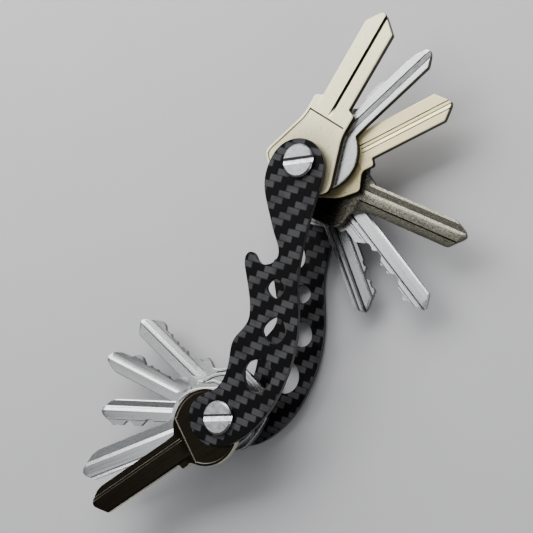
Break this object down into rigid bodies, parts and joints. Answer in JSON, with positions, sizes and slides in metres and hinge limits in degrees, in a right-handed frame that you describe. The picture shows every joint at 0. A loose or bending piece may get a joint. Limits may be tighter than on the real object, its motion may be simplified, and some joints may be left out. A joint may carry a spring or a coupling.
{
  "type": "key organiser",
  "caption": "Two carbon plates joined by slotted screw posts, with loose keys that fan out of each end and a hooked bottle opener notch.",
  "frame": {"origin": "centre of the lower post's plain rear head, on its flat outer face, which the organiser lies on", "axes": "+Z out of the front plate, towards the slotted screw heads; +Y from the lower post to the upper post; +X towards the side that the upper keys open to"},
  "size_m": [0.1013, 0.1625, 0.0203],
  "materials": {
    "carbon": "gloss clear coat over a black and grey two by two twill weave",
    "screws": "bright turned steel",
    "barrels": "bright turned steel",
    "washers": "satin",
    "spacer": "satin",
    "champagne_key": "pale champagne nickel plating, satin",
    "champagne_key_grooved": "pale champagne nickel plating, satin",
    "brushed_dark_key": "dark nickel plating, brushed",
    "black_nickel_key": "black nickel plating, satin",
    "silver_keys": "nickel plating, satin"
  },
  "bodies": {
    "body": {"front_plate": "carbon", "rear_plate": "carbon", "upper_screw": "screws", "upper_barrel": "barrels", "lower_screw": "screws", "lower_barrel": "barrels", "upper_front_washer": "washers", "upper_rear_washer": "washers", "lower_front_washer": "washers", "lower_rear_washer": "washers", "lower_spacer": "spacer"},
    "upper_key_1": {"upper_key_1": "champagne_key"},
    "upper_key_2": {"upper_key_2": "silver_keys"},
    "upper_key_3": {"upper_key_3": "champagne_key_grooved"},
    "upper_key_4": {"upper_key_4": "brushed_dark_key"},
    "upper_key_5": {"upper_key_5": "silver_keys"},
    "upper_key_6": {"upper_key_6": "silver_keys"},
    "lower_key_1": {"lower_key_1": "black_nickel_key"},
    "lower_key_2": {"lower_key_2": "silver_keys"},
    "lower_key_3": {"lower_key_3": "silver_keys"},
    "lower_key_4": {"lower_key_4": "silver_keys"},
    "lower_key_5": {"lower_key_5": "silver_keys"}
  },
  "joints": [
    {"name": "upper_key_1_turn", "type": "hinge", "parent": "body", "child": "upper_key_1", "pos_m": [0, 0.076, 0.01], "axis": [0, 0, 1], "range_deg": [-156.4, 23.6]},
    {"name": "upper_key_2_turn", "type": "hinge", "parent": "body", "child": "upper_key_2", "pos_m": [0, 0.076, 0.01], "axis": [0, 0, 1], "range_deg": [-137.8, 42.2]},
    {"name": "upper_key_3_turn", "type": "hinge", "parent": "body", "child": "upper_key_3", "pos_m": [0, 0.076, 0.01], "axis": [0, 0, 1], "range_deg": [-121.1, 58.9]},
    {"name": "upper_key_4_turn", "type": "hinge", "parent": "body", "child": "upper_key_4", "pos_m": [0, 0.076, 0.01], "axis": [0, 0, 1], "range_deg": [-74.8, 105.2]},
    {"name": "upper_key_5_turn", "type": "hinge", "parent": "body", "child": "upper_key_5", "pos_m": [0, 0.076, 0.01], "axis": [0, 0, 1], "range_deg": [-48.6, 131.4]},
    {"name": "upper_key_6_turn", "type": "hinge", "parent": "body", "child": "upper_key_6", "pos_m": [0, 0.076, 0.01], "axis": [0, 0, 1], "range_deg": [-31.8, 148.2]},
    {"name": "lower_key_1_turn", "type": "hinge", "parent": "body", "child": "lower_key_1", "pos_m": [0, 0, 0.01], "axis": [0, 0, 1], "range_deg": [-131.2, 48.8]},
    {"name": "lower_key_2_turn", "type": "hinge", "parent": "body", "child": "lower_key_2", "pos_m": [0, 0, 0.01], "axis": [0, 0, 1], "range_deg": [-119.4, 60.6]},
    {"name": "lower_key_3_turn", "type": "hinge", "parent": "body", "child": "lower_key_3", "pos_m": [0, 0, 0.01], "axis": [0, 0, 1], "range_deg": [-98.6, 81.4]},
    {"name": "lower_key_4_turn", "type": "hinge", "parent": "body", "child": "lower_key_4", "pos_m": [0, 0, 0.01], "axis": [0, 0, 1], "range_deg": [-77.5, 102.5]},
    {"name": "lower_key_5_turn", "type": "hinge", "parent": "body", "child": "lower_key_5", "pos_m": [0, 0, 0.01], "axis": [0, 0, 1], "range_deg": [-60.9, 119.1]}
  ]
}
